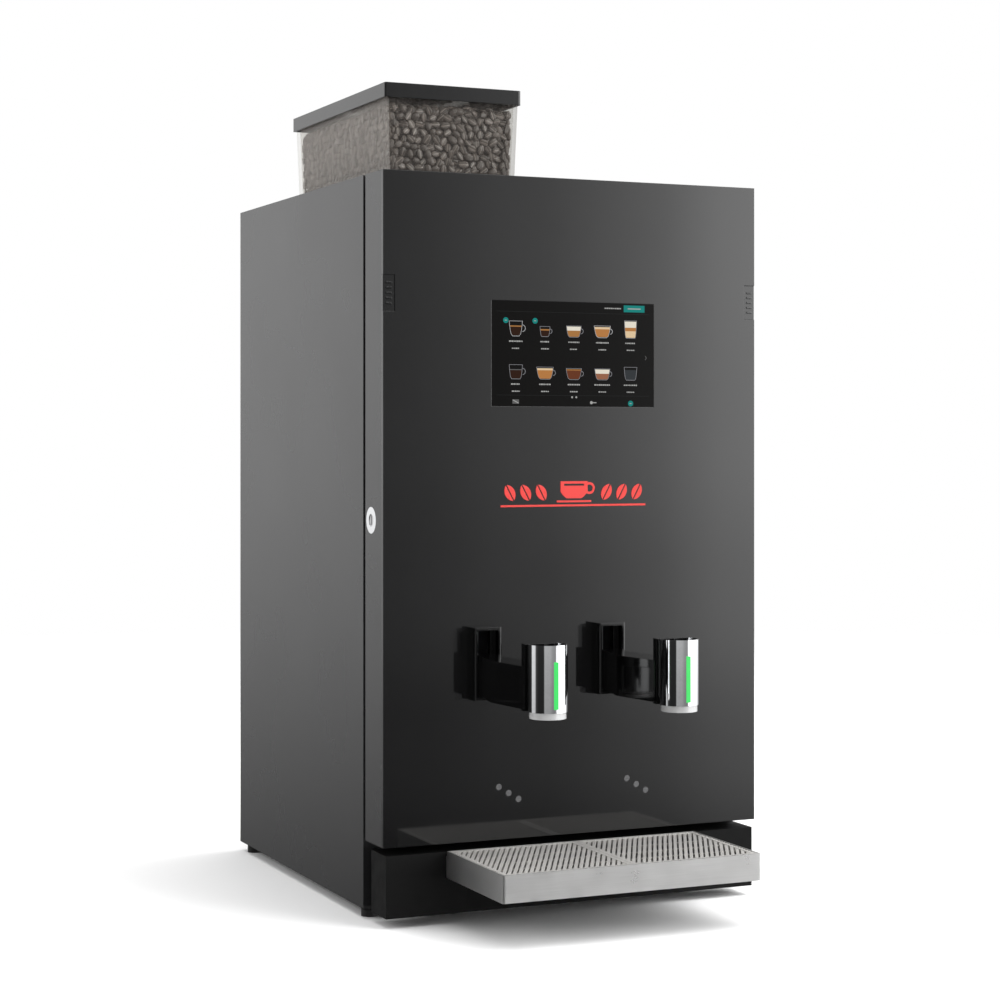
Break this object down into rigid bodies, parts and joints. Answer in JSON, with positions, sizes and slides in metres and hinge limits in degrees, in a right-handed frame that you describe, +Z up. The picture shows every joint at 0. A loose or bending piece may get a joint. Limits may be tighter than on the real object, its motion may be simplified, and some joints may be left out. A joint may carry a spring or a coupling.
{
  "type": "table-top coffee vending machine",
  "caption": "Table-top bean-to-cup vending machine with a hinged glass door, touch screen, two height-adjustable outlets, pull-out drip tray and a bean hopper.",
  "frame": {"origin": "centre of the bounding box in plan, on the surface the feet stand on", "axes": "+Z up, -Y out of the front of the door towards the user, +X to the right as the user sees it"},
  "size_m": [0.41, 0.6054, 0.8234],
  "materials": {
    "case_metal": "satin dark grey powder coat",
    "zinc": "plain zinc-plated sheet",
    "steel": "brushed stainless steel",
    "grid": "matt stainless steel bars",
    "chrome": "polished chrome",
    "door_glass": "black back-printed glass",
    "black_gloss": "glossy black moulding",
    "black_plastic": "fine-grained black moulding",
    "screen": "lit display under glass",
    "print_red": "red screen print",
    "sensor_grey": "smoked sensor window",
    "light_green": "lit green light guide",
    "clear": "clear plastic",
    "beans": "roasted coffee beans",
    "rubber": "black rubber",
    "cast": "cast and blasted",
    "motor": "motor housing",
    "food_white": "food-safe moulding",
    "whip_blue": "blue whipper wheel",
    "hose": "silicone hose",
    "jacket": "foam-lagged tank",
    "brass": "turned brass",
    "grey_plastic": "grey moulding",
    "switch_red": "red rocker"
  },
  "bodies": {
    "cabinet": {"base_pan": "case_metal", "levelling_feet": "rubber", "left_side_panel": "case_metal", "right_side_panel": "case_metal", "rear_panel": "case_metal", "top_panel": "case_metal", "bulkhead": "zinc", "plinth": "black_plastic", "door_brackets": "zinc", "panel_screws": "zinc", "grinder_body": "cast", "drive_motors": "motor", "brew_frame": "black_plastic", "grounds_bin": "grey_plastic", "canister_left": "food_white", "canister_right": "food_white", "mixing_bowls": "food_white", "nozzle_bar": "grey_plastic", "hoses": "hose", "boiler": "jacket", "pump": "brass", "control_box": "grey_plastic", "fan_frame": "black_plastic", "power_inlet": "black_plastic", "water_inlet": "brass"},
    "grinder_rotor": {"grinder_burr": "steel"},
    "piston": {"brew_piston": "food_white"},
    "screw": {"brew_screw": "steel"},
    "left_canister_lid": {"canister_lid_left": "grey_plastic"},
    "right_canister_lid": {"canister_lid_right": "grey_plastic"},
    "left_auger": {"auger_left": "food_white"},
    "right_auger": {"auger_right": "food_white"},
    "left_whipper": {"whipper_left": "whip_blue"},
    "right_whipper": {"whipper_right": "whip_blue"},
    "fan": {"fan_rotor": "black_plastic"},
    "switch": {"power_switch": "switch_red"},
    "door": {"door_frame": "case_metal", "door_glass": "door_glass", "door_liner": "grey_plastic", "door_gasket": "rubber", "touch_screen": "screen", "edge_clips": "black_plastic", "badge": "print_red", "cup_sensors": "sensor_grey", "outlet_guides": "black_gloss", "lock_barrel": "chrome"},
    "lock": {"lock_cam": "steel"},
    "left_outlet": {"outlet_arm_left": "black_gloss", "outlet_cover_left": "chrome", "outlet_light_left": "light_green"},
    "right_outlet": {"outlet_arm_right": "black_gloss", "outlet_cover_right": "chrome", "outlet_light_right": "light_green"},
    "tray": {"drip_tray": "steel"},
    "left_grid": {"grid_left": "grid"},
    "right_grid": {"grid_right": "grid"},
    "hopper": {"bean_hopper": "clear", "beans": "beans"},
    "lid": {"hopper_lid": "black_plastic"},
    "gate": {"hopper_gate": "steel"}
  },
  "joints": [
    {"name": "door_hinge", "type": "hinge", "parent": "cabinet", "child": "door", "pos_m": [0.198, -0.12525, 0.4], "axis": [0, 0, 1], "range_deg": [0, 100]},
    {"name": "lock_turn", "type": "hinge", "parent": "door", "child": "lock", "pos_m": [-0.205, -0.13575, 0.392], "axis": [-1, 0, 0], "range_deg": [0, 90]},
    {"name": "left_outlet_height", "type": "slide", "parent": "door", "child": "left_outlet", "axis": [0, 0, 1], "range_m": [0, 0.023]},
    {"name": "right_outlet_height", "type": "slide", "parent": "door", "child": "right_outlet", "axis": [0, 0, 1], "range_m": [0, 0.023]},
    {"name": "tray_slide", "type": "slide", "parent": "cabinet", "child": "tray", "axis": [0, -1, 0], "range_m": [0, 0.15]},
    {"name": "left_grid_lift", "type": "slide", "parent": "tray", "child": "left_grid", "axis": [0, 0, 1], "range_m": [0, 0.06]},
    {"name": "right_grid_lift", "type": "slide", "parent": "tray", "child": "right_grid", "axis": [0, 0, 1], "range_m": [0, 0.06]},
    {"name": "hopper_lift", "type": "slide", "parent": "cabinet", "child": "hopper", "axis": [0, 0, 1], "range_m": [0, 0.12]},
    {"name": "lid_lift", "type": "slide", "parent": "hopper", "child": "lid", "axis": [0, 0, 1], "range_m": [0, 0.08]},
    {"name": "gate_slide", "type": "slide", "parent": "hopper", "child": "gate", "axis": [0, 1, 0], "range_m": [0, 0.044]},
    {"name": "grinder_spin", "type": "hinge", "parent": "cabinet", "child": "grinder_rotor", "pos_m": [-0.1077, -0.01925, 0.63], "axis": [0, 0, 1], "continuous": true},
    {"name": "brew_screw_turn", "type": "hinge", "parent": "cabinet", "child": "screw", "pos_m": [-0.1077, 0.00875, 0.43], "axis": [0, 0, 1], "range_deg": [0, 1710]},
    {"name": "brew_piston_slide", "type": "slide", "parent": "cabinet", "child": "piston", "axis": [0, 0, -1], "range_m": [0, 0.038]},
    {"name": "left_canister_lid_lift", "type": "slide", "parent": "cabinet", "child": "left_canister_lid", "axis": [0, 0, 1], "range_m": [0, 0.03]},
    {"name": "right_canister_lid_lift", "type": "slide", "parent": "cabinet", "child": "right_canister_lid", "axis": [0, 0, 1], "range_m": [0, 0.03]},
    {"name": "left_auger_spin", "type": "hinge", "parent": "cabinet", "child": "left_auger", "pos_m": [0.052, -0.08025, 0.543], "axis": [0, 1, 0], "continuous": true},
    {"name": "left_whipper_spin", "type": "hinge", "parent": "cabinet", "child": "left_whipper", "pos_m": [0.052, -0.10025, 0.423], "axis": [0, 1, 0], "continuous": true},
    {"name": "right_auger_spin", "type": "hinge", "parent": "cabinet", "child": "right_auger", "pos_m": [0.146, -0.08025, 0.543], "axis": [0, 1, 0], "continuous": true},
    {"name": "right_whipper_spin", "type": "hinge", "parent": "cabinet", "child": "right_whipper", "pos_m": [0.146, -0.10025, 0.423], "axis": [0, 1, 0], "continuous": true},
    {"name": "fan_spin", "type": "hinge", "parent": "cabinet", "child": "fan", "pos_m": [-0.12, 0.28675, 0.56], "axis": [0, 1, 0], "continuous": true},
    {"name": "power_switch_rock", "type": "hinge", "parent": "cabinet", "child": "switch", "pos_m": [-0.112, 0.28575, 0.06], "axis": [-1, 0, 0], "range_deg": [0, 14]}
  ],
  "couplings": [
    {"joint": "brew_piston_slide", "follows": "brew_screw_turn", "m_per_rad": 0.0012732}
  ]
}
